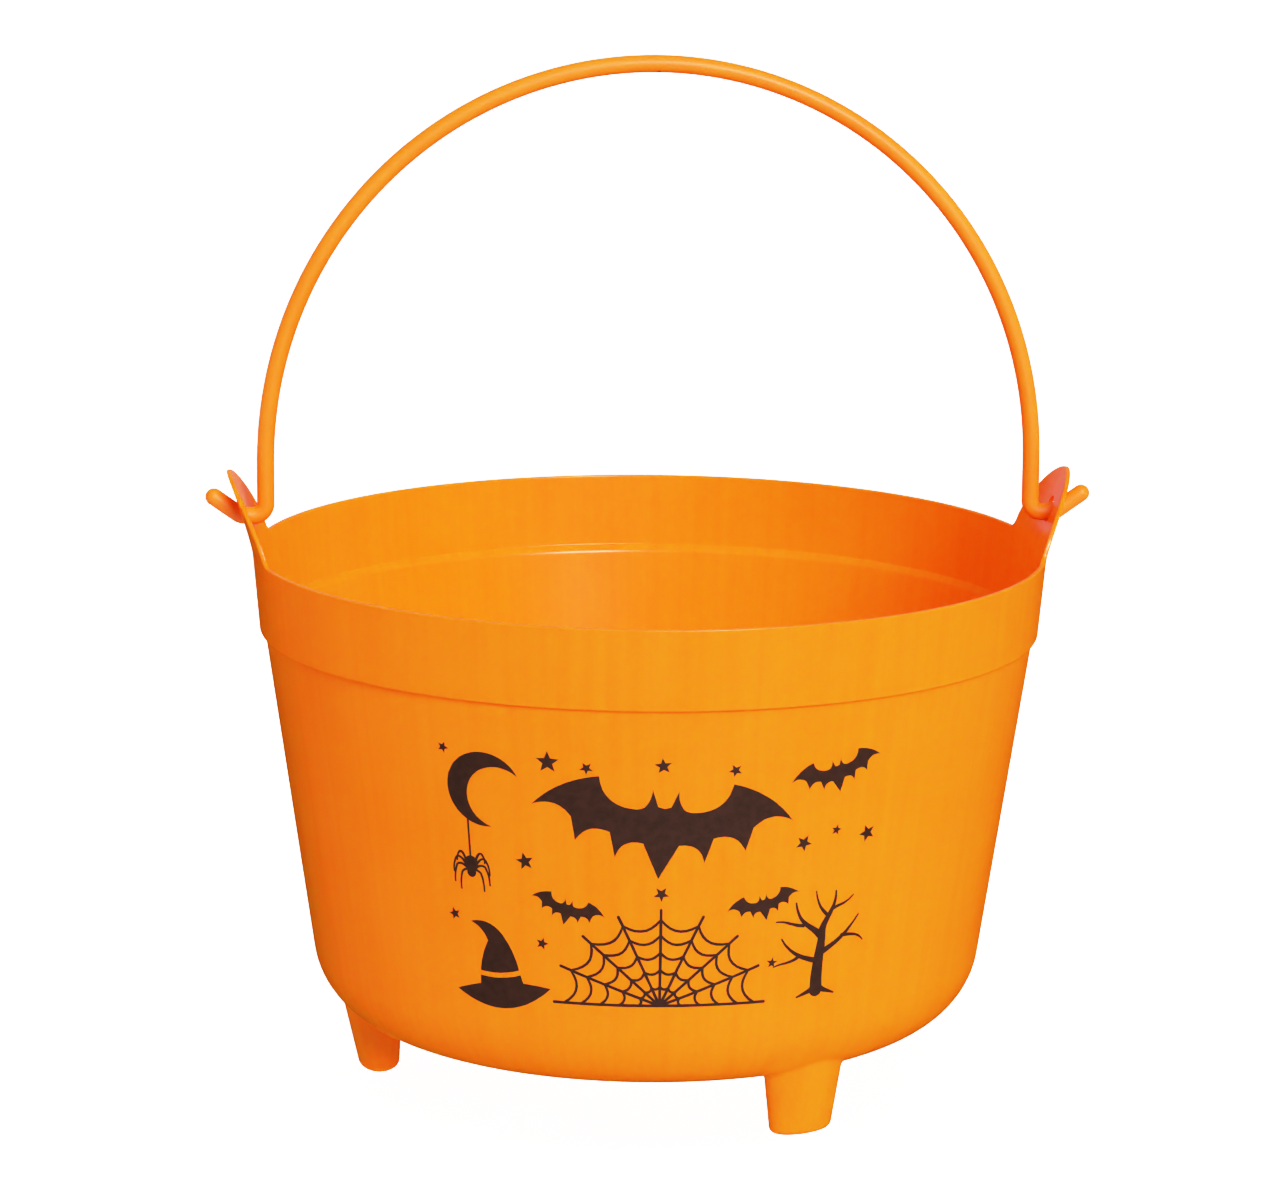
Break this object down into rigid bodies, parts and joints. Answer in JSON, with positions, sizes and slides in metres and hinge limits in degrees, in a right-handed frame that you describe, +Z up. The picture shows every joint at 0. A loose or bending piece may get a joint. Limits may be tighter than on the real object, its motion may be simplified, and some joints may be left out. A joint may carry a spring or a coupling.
{
  "type": "witch cauldron pail",
  "caption": "Open tapered plastic witch cauldron with a stepped rim band, rounded bottom, hollow oval feet, flared pierced ears and a round-rod bail that swings over the mouth.",
  "frame": {"origin": "on the ground under the pot's axis, in the plane of the feet's soles", "axes": "+Z up along the pot's axis, +X through the ear that has no foot under it, -Y towards the printed front"},
  "size_m": [0.2232, 0.2, 0.2591],
  "materials": {
    "pot_plastic": "semi-gloss moulded polypropylene",
    "bail_plastic": "semi-gloss moulded polypropylene"
  },
  "bodies": {
    "pot": {"cauldron_pot": "pot_plastic"},
    "bail": {"bail_handle": "bail_plastic"}
  },
  "joints": [
    {"name": "bail_swing", "type": "hinge", "parent": "pot", "child": "bail", "pos_m": [0, 0, 0.1435], "axis": [1, 0, 0], "range_deg": [-90, 90]}
  ]
}
